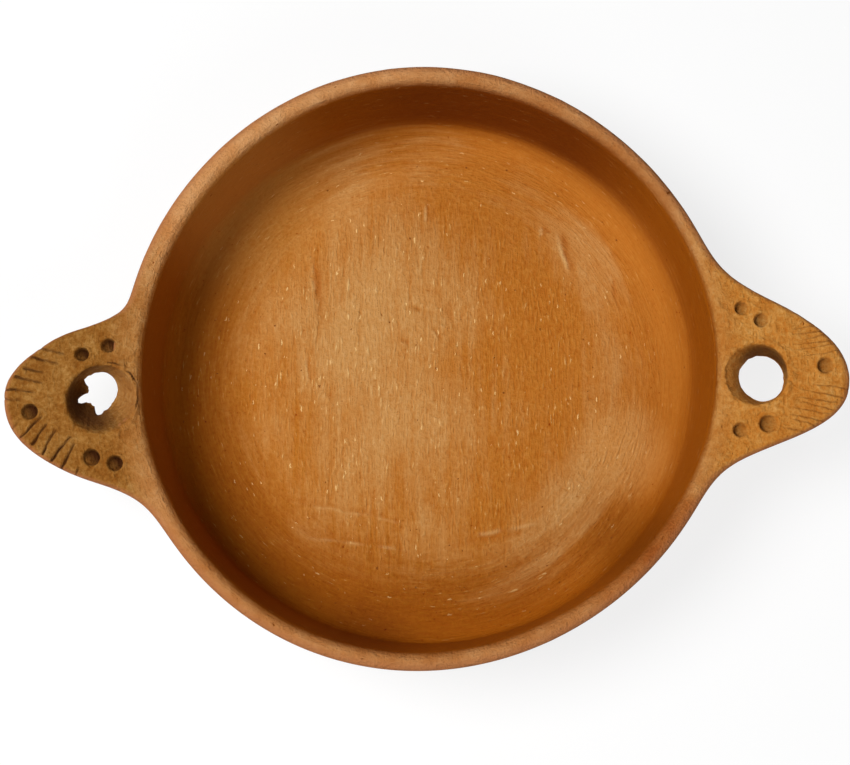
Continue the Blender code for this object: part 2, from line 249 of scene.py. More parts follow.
def terracotta(name):
    """Low-fired red earthenware full of sand and mica. Where a stone has rubbed it, inside the dish, it is
    dense and has a soft sheen with short fine strokes; elsewhere it is matte and gritty. Sizes are in mm."""
    material = bpy.data.materials.new(name)
    material.use_nodes = True
    tree = material.node_tree
    shader = tree.nodes["Principled BSDF"]
    eased = {"interpolation_type": "SMOOTHSTEP"}
    place = add(tree, "TexCoord").outputs["Object"]
    place = add(tree, "VectorMath", {0: place, "Scale": 1 / MM}, operation="SCALE")
    parts = add(tree, "SeparateXYZ", {0: place})
    x, y, z = parts.outputs
    plan = add(tree, "VectorMath", {0: place, 1: (1, 1, 0)}, operation="MULTIPLY")
    radius = add(tree, "VectorMath", {0: plan}, operation="LENGTH").outputs["Value"]

    # Rubbed inside, below the rim's inner edge
    grain = add(tree, "TexNoise", {"Vector": place, "Scale": 1 / 1.7, "Detail": 5.0, "Roughness": 0.65})
    ragged = add(tree, "Math", {0: grain, 1: 1.2, 2: z}, operation="MULTIPLY_ADD")
    low = add(tree, "MapRange", {0: ragged, 1: 67.3, 2: 62.8}, **eased)
    within = add(tree, "MapRange", {0: radius, 1: 127.0, 2: 125.0})
    rubbed = add(tree, "Math", {0: low, 1: within}, operation="MULTIPLY")
    raw = add(tree, "Attribute", attribute_name="raw").outputs["Fac"]
    rubbed = add(tree, "Math", {0: rubbed, 1: raw}, operation="SUBTRACT", use_clamp=True)

    # Stroke lines: straight along Y in the middle, round the axis in the border and up the wall. A rubbing
    # stone's hair lines are 0.1 to 0.3 mm apart and drawn coarser, at 0.9 mm, to hold at the picture's size.
    blotch = add(tree, "TexNoise", {"Vector": place, "Scale": 1 / 40, "Detail": 4.0})
    reach = add(tree, "Math", {0: blotch, 1: 40.0, 2: radius}, operation="MULTIPLY_ADD")
    border = add(tree, "MapRange", {0: reach, 1: 85.0, 2: 125.0}, **eased)
    profile = add(tree, "Math", {0: radius, 1: z}, operation="ADD")
    lifted = add(tree, "CombineXYZ", {2: profile})
    way = add(tree, "VectorMath", {0: plan}, operation="NORMALIZE")
    strokes = []
    for width, slow, turns, detail in ((0.9, 0.17, 15.0, 5.0), (4.5, 0.09, 9.0, 5.0)):
        straight = add(tree, "VectorMath", {0: place, 1: (1, slow, 1)}, operation="MULTIPLY")
        turned = {0: way, 1: (turns, turns, 0), 2: lifted}
        turned = add(tree, "VectorMath", turned, operation="MULTIPLY_ADD")
        noise = {"Scale": 1 / width, "Detail": detail, "Roughness": 0.6, "Distortion": 0.3}
        kinds = [add(tree, "TexNoise", {"Vector": run, **noise}) for run in (straight, turned)]
        strokes.append(add(tree, "Mix", {0: border, 2: kinds[0], 3: kinds[1]}).outputs[0])
    hair, band = strokes
    mottle = add(tree, "TexNoise", {"Vector": place, "Scale": 1 / 9.0, "Detail": 4.0})

    # Mica flecks drawn out along the strokes, large and small, and pits where a sand grain fell out: the
    # cells they lie in, their stretch, their size as a share of a cell and the share of cells left empty.
    # Real mica is 0.1 to 0.5 mm, and the flecks are drawn coarser, at 0.6 mm and more.
    bearing = add(tree, "Math", {0: y, 1: x}, operation="ARCTAN2")
    bearing = add(tree, "Math", {0: bearing, 1: 100.0}, operation="MULTIPLY")
    unrolled = add(tree, "CombineXYZ", {0: profile, 1: bearing})
    outer = add(tree, "Math", {0: border, 1: 0.5}, operation="GREATER_THAN")
    laid = add(tree, "Mix", {0: outer, 4: place, 5: unrolled}, data_type="VECTOR").outputs[1]
    stir = add(tree, "VectorMath", {0: grain.outputs["Color"], 1: (0.5, 0.5, 0.5)}, operation="SUBTRACT")
    stir = add(tree, "VectorMath", {0: stir, "Scale": 2.4}, operation="SCALE")
    laid = add(tree, "VectorMath", {0: laid, 1: stir}, operation="ADD")
    specks = []
    kinds = ((7.0, 0.2, 0.05, 0.8), (2.6, 0.26, 0.12, 0.78), (6.0, 0.7, 0.07, 0.8))
    for cell, stretch, size, share in kinds:
        spot = add(tree, "VectorMath", {0: laid, 1: (1, stretch, 1)}, operation="MULTIPLY")
        spot = add(tree, "TexVoronoi", {"Vector": spot, "Scale": 1 / cell}, voronoi_dimensions="2D")
        chance = add(tree, "SeparateColor", {0: spot.outputs["Color"]}).outputs[2]
        chosen = add(tree, "MapRange", {0: chance, 1: share, 2: 1.0, 4: size})
        near = add(tree, "Math", {0: chosen, 1: spot.outputs["Distance"]}, operation="SUBTRACT")
        specks.append(add(tree, "MapRange", {0: near, 1: 0.0, 2: 0.3 * size}))
    flecks_and_glints = add(tree, "Math", {0: specks[0], 1: specks[1]}, operation="MAXIMUM")
    crowd = add(tree, "MapRange", {0: mottle, 1: 0.47, 2: 0.6})
    # Painted glints: pale streaks where the stroke ridges catch the light, joined to the mica flecks.
    drawn = add(tree, "MapRange", {0: hair, 1: 0.63, 2: 0.67, 4: 0.75})
    drawn = add(tree, "Math", {0: drawn, 1: crowd}, operation="MULTIPLY")
    flecks_and_glints = add(tree, "Math", {0: flecks_and_glints, 1: drawn}, operation="MAXIMUM")
    # Painted highlight on the old marks' burrs, shown with the pale flecks.
    painted_burr_highlight = add(tree, "Attribute", attribute_name="painted_burr_highlight").outputs["Fac"]
    flecks_and_glints = add(tree, "Math", {0: flecks_and_glints, 1: painted_burr_highlight}, operation="MAXIMUM")
    flecks_and_glints = add(tree, "Math", {0: flecks_and_glints, 1: rubbed}, operation="MULTIPLY")
    shown = add(tree, "MapRange", {0: profile, 1: 95.0, 2: 123.0, 3: 0.85, 4: 0.2})
    flecks_and_glints = add(tree, "Math", {0: flecks_and_glints, 1: shown}, operation="MULTIPLY")
    pits = specks[2]

    # Colour of the rubbed clay: ochre, with a painted sheen left of the middle and in an arc along the right
    # wall, broken up by random tone; darker and redder towards the border and up the wall, the wall's own
    # deeper tone with painted shade towards the left and near side; painted shade on the far wall; and
    # streaked by the strokes
    # Painted sheen: paler round a spot left of the middle and in an arc by the right wall, broken up by
    # random tone.
    away = {0: plan, 1: (1, 0.45, 0), 2: (25.0, -6.0, 0.0)}
    away = add(tree, "VectorMath", away, operation="MULTIPLY_ADD")
    away = add(tree, "VectorMath", {0: away}, operation="LENGTH").outputs["Value"]
    arc = add(tree, "Math", {0: radius, 1: 92.0}, operation="SUBTRACT")
    arc = add(tree, "Math", {0: arc}, operation="ABSOLUTE")
    arc = add(tree, "MapRange", {0: arc, 1: 32.0, 2: 5.0}, **eased)
    far = add(tree, "Math", {0: y, 1: -0.1, 2: x}, operation="MULTIPLY_ADD")
    far = add(tree, "MapRange", {0: far, 1: 15.0, 2: 75.0, 4: -72.0}, **eased)
    away = add(tree, "Math", {0: arc, 1: far, 2: away}, operation="MULTIPLY_ADD")
    away = add(tree, "Math", {0: blotch, 1: -90.0, 2: away}, operation="MULTIPLY_ADD")
    away = add(tree, "Math", {0: band, 1: -90.0, 2: away}, operation="MULTIPLY_ADD")
    painted_highlight = add(tree, "MapRange", {0: away, 1: -22.0, 2: -92.0}, **eased)
    smooth = add(tree, "Mix", {0: painted_highlight, 6: linear("#B06A22"), 7: linear("#BF8A4E")}, data_type="RGBA")
    # Painted shade: darker and redder towards the border and up the wall, most to the left and near side,
    # where the wall shades the floor; up the wall it is also the clay's own deeper tone.
    beside = add(tree, "Math", {0: x}, operation="ABSOLUTE")
    lower = add(tree, "CombineXYZ", {0: x, 1: y, 2: beside})
    lower = add(tree, "VectorMath", {0: lower, 1: (-0.145, -0.15, -0.075)}, operation="DOT_PRODUCT")
    lower = add(tree, "Math", {0: lower.outputs["Value"], 1: profile}, operation="ADD")
    lower = add(tree, "Math", {0: band, 1: -40.0, 2: lower}, operation="MULTIPLY_ADD")
    painted_border_shade = add(tree, "MapRange", {0: lower, 1: 69.0, 2: 113.0}, **eased)
    smooth = add(tree, "Mix", {0: painted_border_shade, 6: smooth.outputs[2], 7: linear("#934E09")}, data_type="RGBA")
    # Painted shade on the far wall and its corner, which the lamp from the left only grazes.
    painted_far_shade = add(tree, "VectorMath", {0: plan, 1: (34.0, 116.0, 0.0)}, operation="DISTANCE").outputs["Value"]
    painted_far_shade = add(tree, "MapRange", {0: painted_far_shade, 1: 92.0, 2: 28.0, 4: 0.85}, **eased)
    above = add(tree, "MapRange", {0: z, 1: 3.0, 2: 28.0}, **eased)
    painted_far_shade = add(tree, "Math", {0: painted_far_shade, 1: above}, operation="MULTIPLY")
    smooth = add(tree, "Mix", {0: painted_far_shade, 6: smooth.outputs[2], 7: linear("#6A2E03")}, data_type="RGBA")
    # Patches of painted light and shade: place, how far out they fade and where they are full, how strong,
    # and their colour. In turn a painted light on the shaded upper left wall, a painted sheen by the right
    # wall, painted shade at the foot of the near wall and a painted shadow on the lower right.
    painted_light_patches = (
        ((-87.0, 84.0, 0.0), 58.0, 12.0, 0.9, "#B3742F"),
        ((89.0, -33.0, 0.0), 28.0, 6.0, 0.6, "#C98F4D"),
        ((-26.0, -121.0, 0.0), 31.0, 6.0, 0.45, "#6A2E03"),
        ((96.0, -80.0, 0.0), 33.0, 4.0, 0.7, "#773C03"),
    )
    for spot, faded, full, share, painted_tone in painted_light_patches:
        apart = add(tree, "VectorMath", {0: plan, 1: spot}, operation="DISTANCE").outputs["Value"]
        painted_share = add(tree, "MapRange", {0: apart, 1: faded, 2: full, 4: share}, **eased)
        smooth = add(tree, "Mix", {0: painted_share, 6: smooth.outputs[2], 7: linear(painted_tone)}, data_type="RGBA")
    faint = add(tree, "MapRange", {0: profile, 1: 96.0, 2: 132.0, 3: 1.0, 4: 0.3})
    lines = add(tree, "MapRange", {0: hair, 1: 0.3, 2: 0.7, 3: 1.16, 4: 0.84})
    patchy = add(tree, "MapRange", {0: mottle, 1: 0.35, 2: 0.6, 3: 0.35, 4: 1.0})
    patchy = add(tree, "Math", {0: patchy, 1: faint}, operation="MULTIPLY")
    lines = add(tree, "Mix", {0: patchy, 2: 1.0, 3: lines}).outputs[0]
    wrinkle = add(tree, "MapRange", {0: grain, 1: 0.3, 2: 0.7, 3: 0.1, 4: -0.1})
    lines = add(tree, "Math", {0: wrinkle, 1: faint, 2: lines}, operation="MULTIPLY_ADD")
    torn = add(tree, "MapRange", {0: grain, 1: 0.35, 2: 0.3, 4: 0.6})
    torn = add(tree, "Math", {0: torn, 1: crowd, 2: lines}, operation="MULTIPLY_ADD")
    # Painted shade darkens the old marks' scoops.
    painted_scoop_shade = add(tree, "Attribute", attribute_name="painted_scoop_shade").outputs["Fac"]
    torn = add(tree, "Math", {0: painted_scoop_shade, 1: 0.32, 2: torn}, operation="MULTIPLY_ADD")
    smooth = add(tree, "Gamma", {0: smooth.outputs[2], 1: torn})

    # Colour of the gritty clay: browner to the left, redder along the rim and paler at its upper left,
    # mottled by its sand, and darkened by a painted shadow at the lower right
    across = add(tree, "MapRange", {0: x, 1: -150.0, 2: 150.0})
    rough = add(tree, "Mix", {0: across, 6: linear("#8C5D27"), 7: linear("#C08038")}, data_type="RGBA")
    ring = add(tree, "MapRange", {0: radius, 1: 138.0, 2: 129.0}, **eased)
    beside = add(tree, "MapRange", {0: beside, 1: 130.0, 2: 104.0, 3: 0.2}, **eased)
    ring = add(tree, "Math", {0: ring, 1: beside}, operation="MULTIPLY")
    paler_upper_left = add(tree, "VectorMath", {0: plan, 1: (-0.643, 0.766, 0.0)}, operation="DOT_PRODUCT")
    paler_upper_left = add(tree, "MapRange", {0: paler_upper_left.outputs["Value"], 1: 78.0, 2: 106.0})
    rim = add(tree, "Mix", {0: paler_upper_left, 6: linear("#B07643"), 7: linear("#C28A56")}, data_type="RGBA")
    rough = add(tree, "Mix", {0: ring, 6: rough.outputs[2], 7: rim.outputs[2]}, data_type="RGBA")
    drawn_out = add(tree, "Math", {0: ring, 1: 0.5}, operation="MULTIPLY")
    speckle = add(tree, "Mix", {0: drawn_out, 2: grain, 3: hair}).outputs[0]
    grit = add(tree, "MapRange", {0: speckle, 1: 0.32, 2: 0.68, 3: 0.22, 4: -0.16})
    calm = add(tree, "MapRange", {0: ring, 3: 1.0, 4: 0.45})
    grit = add(tree, "Math", {0: grit, 1: calm, 2: 1.0}, operation="MULTIPLY_ADD")
    patch = add(tree, "MapRange", {0: mottle, 1: 0.3, 2: 0.7, 3: 0.14, 4: -0.14})
    grit = add(tree, "Math", {0: grit, 1: patch}, operation="ADD")
    rough = add(tree, "Gamma", {0: rough.outputs[2], 1: grit})
    # Painted shadow darkening the gritty clay at the lower right.
    painted_lower_right_shadow = add(tree, "VectorMath", {0: plan, 1: (99.0, -82.0, 0.0)}, operation="DISTANCE").outputs["Value"]
    painted_lower_right_shadow = add(tree, "MapRange", {0: painted_lower_right_shadow, 1: 42.0, 2: 4.0, 3: 1.0, 4: 1.36}, **eased)
    rough = add(tree, "Gamma", {0: rough, 1: painted_lower_right_shadow})
    worn = add(tree, "Attribute", attribute_name="edge").outputs["Fac"]
    rough = add(tree, "Mix", {0: worn, 6: rough, 7: linear("#A5683F")}, data_type="RGBA").outputs[2]

    # Both clays together, with pits, mica flecks and painted glints, and painted shade in the pits and in the
    # lugs' dots, cuts, crack and finger holes
    colour = add(tree, "Mix", {0: rubbed, 6: rough, 7: smooth}, data_type="RGBA").outputs[2]
    # Pits coloured darker: painted shade in them.
    colour = add(tree, "Mix", {0: pits, 6: colour, 7: linear("#7A3F12")}, data_type="RGBA").outputs[2]
    colour = add(tree, "Mix", {0: flecks_and_glints, 6: colour, 7: linear("#E6C283")}, data_type="RGBA").outputs[2]
    # Painted shade in the lugs' dots, cuts and crack and on one side of each finger hole.
    painted_shade = add(tree, "Attribute", attribute_name="painted_hollow_shade").outputs["Fac"]
    colour = add(tree, "Mix", {0: painted_shade, 6: colour, 7: linear("#42220B")}, data_type="RGBA").outputs[2]
    tree.links.new(colour, shader.inputs["Base Color"])

    # Sheen: strongest on the floor, weaker up the wall, none on the gritty clay
    gloss = add(tree, "MapRange", {0: profile, 1: 100.0, 2: 128.0, 3: 0.38, 4: 0.72})
    gloss = add(tree, "Mix", {0: rubbed, 2: 0.85, 3: gloss})
    tree.links.new(gloss.outputs[0], shader.inputs["Roughness"])
    shader.inputs["Specular IOR Level"].default_value = 0.05

    # Relief in mm: strokes and fine wrinkles where rubbed, grit elsewhere, pits everywhere
    stroked = add(tree, "Math", {0: grain, 1: faint, 2: hair}, operation="MULTIPLY_ADD")
    keen = add(tree, "MapRange", {0: faint, 1: 0.3, 2: 1.0, 3: 0.6, 4: 1.08})
    stroked = add(tree, "Math", {0: stroked, 1: keen}, operation="MULTIPLY")
    gritty = add(tree, "Math", {0: hair, 1: 0.5, 2: grain}, operation="MULTIPLY_ADD")
    gritty = add(tree, "Math", {0: gritty, 1: 1.4}, operation="MULTIPLY")
    relief = add(tree, "Mix", {0: rubbed, 2: gritty, 3: stroked}).outputs[0]
    relief = add(tree, "Math", {0: pits, 1: -0.15, 2: relief}, operation="MULTIPLY_ADD")
    bump = add(tree, "Bump", {"Strength": 1.0, "Distance": MM, "Height": relief})
    tree.links.new(bump.outputs[0], shader.inputs["Normal"])
    return material


# Rubbed terracotta: pressed dense with a smooth stone while leather-hard, then fired low. To the eye it is
# warm ochre with a soft sheen, fine stroke lines and bright mica.
rubbed_clay = terracotta("rubbed_terracotta")
toe_radius, toe_height = floor_toe(COLUMNS)
shares = np.linspace(0.006, 1.0, FLOOR_ROWS)[:, None]
floor_plan = around(toe_radius * shares, COLUMNS, 0.0)
floor_top = around(toe_radius * shares, COLUMNS, floor_height(floor_plan))
seat_level = FLOOR_TOP - REBATE
joint_radius = outside(COLUMNS, np.full_like(COLUMNS, FLOOR_TOP))
under_corner = around(toe_radius, COLUMNS, seat_level)[None]
under_wall = around(joint_radius - REBATE, COLUMNS, seat_level)[None]
foot_levels = (FLOOR_TOP * (1 - np.linspace(0.0, 1.0, FOOT_ROWS) ** 1.6))[:, None]
foot = around(outside(COLUMNS, foot_levels), COLUMNS, foot_levels)
base_shares = np.linspace(0.98, 0.02, BASE_ROWS)[:, None]
base = around(outside(COLUMNS, np.zeros_like(COLUMNS)) * base_shares, COLUMNS, 0.0)
slab = np.concatenate([floor_top, under_corner, under_wall, foot, base])
below = np.zeros((len(slab) - len(floor_top), len(COLUMNS)))
# Painted shade in the old marks' scoops and painted highlight on their burrs, for the material.
_, marks_shade, marks_highlight = old_marks(floor_plan)
floor_masks = {
    "raw": np.concatenate([0 * marks_highlight, below + 1])[::-1],
    "painted_scoop_shade": np.concatenate([marks_shade, below])[::-1],
    "painted_burr_highlight": np.concatenate([marks_highlight, below])[::-1],
}
clay_piece("dish_floor", slab[::-1], "floor_slab", "floor_clay", rubbed_clay, poles=True, **floor_masks)

# Corner coil
# A thin roll of clay pressed into the corner of floor and wall from inside and drawn out both ways with the
# thumb, so that no crack starts there. It is rubbed over with the floor and hardly shows.
HOLLOW_ROWS = 22
SEAT_SHARE = 0.8
hollow_angles = np.linspace(0.0, np.pi / 2, HOLLOW_ROWS)[:, None]
hollow_size = corner_round(COLUMNS)
hollow_end = toe_height + hollow_size
wall_toe = inside(COLUMNS, hollow_end)
hollow = around(
    toe_radius + (wall_toe - toe_radius) * np.sin(hollow_angles),
    COLUMNS,
    toe_height + hollow_size * (1 - np.cos(hollow_angles)),
)
behind = np.stack(
    [
        around(wall_toe + SEAT_SHARE * REBATE, COLUMNS, hollow_end),
        around(wall_toe + SEAT_SHARE * REBATE, COLUMNS, FLOOR_TOP - SEAT_SHARE * REBATE),
        around(toe_radius, COLUMNS, FLOOR_TOP - SEAT_SHARE * REBATE),
    ]
)
clay_piece("corner_fill", np.concatenate([hollow, behind])[::-1], "corner_coil", "wall_clay", rubbed_clay)

# Wall coils
# Three thick rolls of clay laid on one another, each pressed down over the rounded crest of the one below
# and smeared together inside and out. Inside they are rubbed smooth, outside only scraped and patted.
COILS = ("lower_wall_coil", "middle_wall_coil", "upper_wall_coil")
RIM_COIL_FOOT = 54 * MM
COIL_ROWS, JOINT_ROWS = 26, 9
COIL_CREST = 2.0 * MM
JOINT_GAP = 0.2 * MM


def joint(outer, inner, level, crest):
    """Hidden joint between two coils, from the outer face to the inner: a low arch across the wall."""
    across = np.linspace(1.0, -1.0, JOINT_ROWS)[1:-1, None]
    radius = (outer + inner) / 2 + (outer - inner) / 2 * across
    return around(radius, COLUMNS, level + crest * (1 - across**2))


def coil(bottom, top, inner_bottom, first):
    """A coil's section carried round: up the outer face, over the crest, down the inner face and back under
    the arch of the joint, or on the first coil along the seat on the slab."""
    climb = np.linspace(0.0, 1.0, COIL_ROWS)[:, None]
    outer_levels = bottom + (top - bottom) * climb + 0 * COLUMNS
    inner_levels = top + (inner_bottom - top) * climb + 0 * COLUMNS
    outer = around(outside(COLUMNS, outer_levels), COLUMNS, outer_levels)
    inner = around(inside(COLUMNS, inner_levels), COLUMNS, inner_levels)
    edges = [outside(COLUMNS, np.full_like(COLUMNS, level)) for level in (bottom, top)]
    crest = joint(edges[1], inside(COLUMNS, top), top, COIL_CREST)
    if first:
        seat = np.stack(
            [
                around(inside(COLUMNS, inner_bottom) + REBATE, COLUMNS, inner_bottom),
                around(inside(COLUMNS, inner_bottom) + REBATE, COLUMNS, bottom - SEAT_SHARE * REBATE),
                around(edges[0] - REBATE, COLUMNS, bottom - SEAT_SHARE * REBATE),
            ]
        )
    else:
        seat = joint(edges[0], inside(COLUMNS, bottom), bottom + JOINT_GAP, COIL_CREST)[::-1]
    return np.concatenate([outer, crest, inner, seat])


levels = np.linspace(FLOOR_TOP, RIM_COIL_FOOT, len(COILS) + 1)
for place, node in enumerate(COILS):
    inner_foot = hollow_end if place == 0 else levels[place] + 0 * COLUMNS
    section = coil(levels[place], levels[place + 1], inner_foot, place == 0)
    clay_piece(node.replace("_coil", ""), section, node, "wall_clay", rubbed_clay)

# Lugs in plan
# Two handles cut from slabs, each a bell-shaped tongue that flows into the rim's outline at both flanks. A
# leaning finger hole goes through close to the wall, so that its flared mouth bites into the rim's shoulder.
LUG_REACH = 49.5 * MM
LUG_FLANK = 2.3
TAIL = 3.4 * MM
LUG_RISE = 2.0 * MM
# Width and drop of the rounds at the outer and the inner edge of the top.
SHOULDER = (3.8 * MM, 3.8 * MM)
INNER_EDGE = (4.2 * MM, 4.4 * MM)
# For each lug: its bearing and reach, half width and tightness of neck at each flank, the hole's mouth and
# foot as place and radius, the rim's lip left bare, how far from the hole the clay cracked (below 0 nowhere),
# how the hole's wall flares on the dish's side and opposite, how hard the dots were pressed, which way the
# stick leaned, and the bearing of the side of the hole that painted shade darkens.
LUGS = {
    "left": {
        "bearing": np.radians(185.5),
        "reach": LUG_REACH,
        "halves": (26.5 * MM, 34.8 * MM),
        "necks": (3.3, 2.65),
        "mouth": (-136.8 * MM, -16.2 * MM, 14.3 * MM),
        "foot": (-141.4 * MM, -11.6 * MM, 8.6 * MM),
        "foot_depth": 15 * MM,
        "lip": 2.0 * MM,
        "crack": 1.6 * MM,
        "flares": (1.15, 1.15),
        "press": 1.0,
        "lean": np.radians(40),
        "shade_bearing": np.radians(225),
    },
    "right": {
        "bearing": np.radians(-3.0),
        "reach": LUG_REACH - 0.8 * MM,
        "halves": (26.0 * MM, 31.4 * MM),
        "necks": (2.2, 2.4),
        "mouth": (141.6 * MM, -5.7 * MM, 12.8 * MM),
        "foot": (145.9 * MM, -5.5 * MM, 10.0 * MM),
        "foot_depth": 15 * MM,
        "lip": 1.6 * MM,
        "crack": -9 * MM,
        "flares": (3.2, 1.2),
        "press": 0.6,
        "lean": np.radians(160),
        "shade_bearing": np.radians(75),
    },
}


def turn_from(lug, bearing):
    """Signed angle from the lug's tip to a bearing."""
    return (bearing - lug["bearing"] + np.pi) % (2 * np.pi) - np.pi


def half_turn(lug, turn):
    """Turn at which the lug's edge has come halfway back to the rim, on the side of this turn."""
    return np.where(turn > 0, lug["halves"][1], lug["halves"][0]) / (RIM_RADIUS + LUG_REACH / 2)


def bell(lug, bearing):
    """How far the lug's edge stands out from the rim: its reach, halved at the half width, dying away
    beyond, faster where the neck is tight."""
    turn = turn_from(lug, bearing)
    share = np.abs(turn / half_turn(lug, turn))
    neck = np.where(turn > 0, lug["necks"][1], lug["necks"][0])
    return lug["reach"] * 0.5 ** (share ** (LUG_FLANK + (neck - LUG_FLANK) * rise(0.7, 1.3, share)))


def tail_turn(lug, side):
    """The turn at which the lug's tongue ends in the thickened rim."""
    neck = np.where(side > 0, lug["necks"][1], lug["necks"][0])
    return half_turn(lug, side) * np.log2(lug["reach"] / TAIL) ** (1 / neck)


def on_lug(lug, bearing):
    """How far inside the lug's two tails a bearing lies: 1 at the tip, 0 at the tails, below 0 beyond."""
    turn = turn_from(lug, bearing)
    return 1 - np.abs(turn) / tail_turn(lug, np.where(turn > 0, 1, -1))


def top_height(plan, edge):
    """Top of the rim and lugs: level, rising a little to the lug's tip, lumpy, and rounded off at the outer
    and inner edge by a quarter of an ellipse each."""
    radius = np.hypot(plan[..., 0], plan[..., 1])
    flat = plan * (1, 1, 0)
    level = RIM_TOP + LUG_RISE * (radius - RIM_RADIUS) / LUG_REACH
    level = level + 0.4 * MM * lumps(flat, 16 * MM, 11) + 0.12 * MM * lumps(flat, 5 * MM, 12) - 0.4 * MM
    inner = inside(np.arctan2(plan[..., 1], plan[..., 0]), np.full_like(radius, RIM_TOP))
    short = np.clip(1 - (edge - radius) / SHOULDER[0], 0.0, 1.0)
    steep = np.clip(1 - (radius - inner) / INNER_EDGE[0], 0.0, 1.0)
    return level - SHOULDER[1] * (1 - np.sqrt(1 - short**2)) - INNER_EDGE[1] * (1 - np.sqrt(1 - steep**2))


def hole_at(lug, depth):
    """Middle and radius of the finger hole at a depth below the rim's top."""
    share = depth / lug["foot_depth"]
    return [a + (b - a) * share for a, b in zip(lug["mouth"], lug["foot"])]


def bay(lug, bearing, height):
    """Radius at which a line out from the axis meets the finger hole, or far away where it misses it."""
    x, y, size = hole_at(lug, RIM_TOP - height)
    size = size + 1.4 * MM
    ahead = x * np.cos(bearing) + y * np.sin(bearing)
    inner = ahead**2 - x**2 - y**2 + size**2
    return np.where((inner > 0) & (ahead > 0), ahead - np.sqrt(np.maximum(inner, 0.0)), 1.0)


# Rim coil
# The last roll, wetted and drawn between finger and thumb to a rounded top with a crisp inner edge. It
# thickens towards the lugs, which are luted on over its shoulder. It is sandy to the touch and never rubbed.
RIM_COLUMNS = np.linspace(0.0, 2 * np.pi, 960, endpoint=False)
FACE_ROWS, CROWN_ROWS, THROAT_ROWS = 20, 34, 22
UNDER_LUG = 0.5 * MM
# Sandy terracotta: the same clay only wiped with wet fingers, which washes its sand bare. To the eye it is
# matte and mottled, browner in the smoke at the left and worn red along its edges.
sandy_clay = terracotta("sandy_terracotta")

swell = sum(np.where(on_lug(lug, RIM_COLUMNS) < 0, bell(lug, RIM_COLUMNS), TAIL) for lug in LUGS.values())
rim_edge = rim_outline(RIM_COLUMNS) + swell
rim_inner = inside(RIM_COLUMNS, np.full_like(RIM_COLUMNS, RIM_TOP))
covered = np.maximum(*[rise(0.02, 0.12, on_lug(lug, RIM_COLUMNS)) for lug in LUGS.values()])


def rim_bay(height):
    """Radius at which the rim's outer face is cut back by the finger hole nearest to each column."""
    return np.minimum(*[bay(lug, RIM_COLUMNS, height) for lug in LUGS.values()])


face_levels = np.linspace(RIM_COIL_FOOT, RIM_TOP - SHOULDER[1], FACE_ROWS)[:, None] + 0 * RIM_COLUMNS
face_radius = outside(RIM_COLUMNS, face_levels) + swell * rise(RIM_COIL_FOOT, 61 * MM, face_levels)
face_radius = face_radius + (rim_edge - face_radius) * rise(58 * MM, RIM_TOP - SHOULDER[1], face_levels)
face_radius = np.minimum(face_radius, rim_bay(face_levels))
across = (1 - np.cos(np.linspace(0.0, np.pi, CROWN_ROWS)))[1:-1, None] / 2
crown_outer = np.minimum(rim_edge, rim_bay(np.full_like(RIM_COLUMNS, RIM_TOP - SHOULDER[1])))
crown_radius = crown_outer + (rim_inner - crown_outer) * across
crown_plan = around(crown_radius, RIM_COLUMNS, 0.0)
crown_height = top_height(crown_plan, crown_outer)
past_lip = rise(0.5 * MM, 1.7 * MM, crown_radius - rim_inner - 1.6 * MM)
crown_height = crown_height - UNDER_LUG * covered * past_lip
crown = around(crown_radius, RIM_COLUMNS, crown_height)
throat_top = crown_height[-1] - 0.8 * MM
throat_levels = throat_top + (RIM_COIL_FOOT - throat_top) * np.linspace(0.0, 1.0, THROAT_ROWS)[:, None]
throat = around(inside(RIM_COLUMNS, throat_levels), RIM_COLUMNS, throat_levels)
face = around(face_radius, RIM_COLUMNS, face_levels)
foot_across = np.linspace(-1.0, 1.0, JOINT_ROWS)[1:-1, None]
foot_outer, foot_inner = face_radius[0], inside(RIM_COLUMNS, np.full_like(RIM_COLUMNS, RIM_COIL_FOOT))
foot_radius = (foot_outer + foot_inner) / 2 + (foot_outer - foot_inner) / 2 * foot_across
rim_foot = around(foot_radius, RIM_COLUMNS, RIM_COIL_FOOT + JOINT_GAP + COIL_CREST * (1 - foot_across**2))
rim_grid = np.concatenate([face, crown, throat, rim_foot])
to_edge = np.hypot(rim_grid[..., 0], rim_grid[..., 1]) - crown_outer
edge_wear = rise(-4.5 * MM, -0.4 * MM, to_edge) * 0.8 * rise(55 * MM, 66 * MM, rim_grid[..., 2])
clay_piece("rim", rim_grid, "rim_coil", "rim_clay", sandy_clay, edge=edge_wear)

# Lugs
# Each lug is pierced with a stick that leaned as it went in, dotted with the stick's end and scored with a
# knife in two fans out to the edge. The clay is left sandy, and painted shade darkens the dots, cuts and
# crack and one side of each finger hole.
LUG_TIP = 11 * MM
LUG_ROOT = 18 * MM
LUG_TAIL_DEPTH = 6.6 * MM
LUTING = 0.10 * MM
UNDER_ROUND = (3.0 * MM, 3.5 * MM)
LUG_COLUMNS = 560
TOP_ROWS, SIDE_ROWS, UNDER_ROWS, HOLE_ROWS = 92, 9, 34, 22
# Dots: place on the dish and radius in mm.
DOTS = {
    "left": (
        (-134.3, 6.7, 3.1),
        (-145.3, 2.8, 3.0),
        (-166.8, -21.8, 3.5),
        (-140.1, -41.3, 3.7),
        (-130.1, -43.7, 3.4),
    ),
    "right": (
        (135.6, 22.7, 2.9),
        (143.8, 17.4, 3.1),
        (170.3, -2.1, 3.5),
        (145.8, -26.8, 3.9),
        (134.0, -29.4, 3.1),
    ),
}
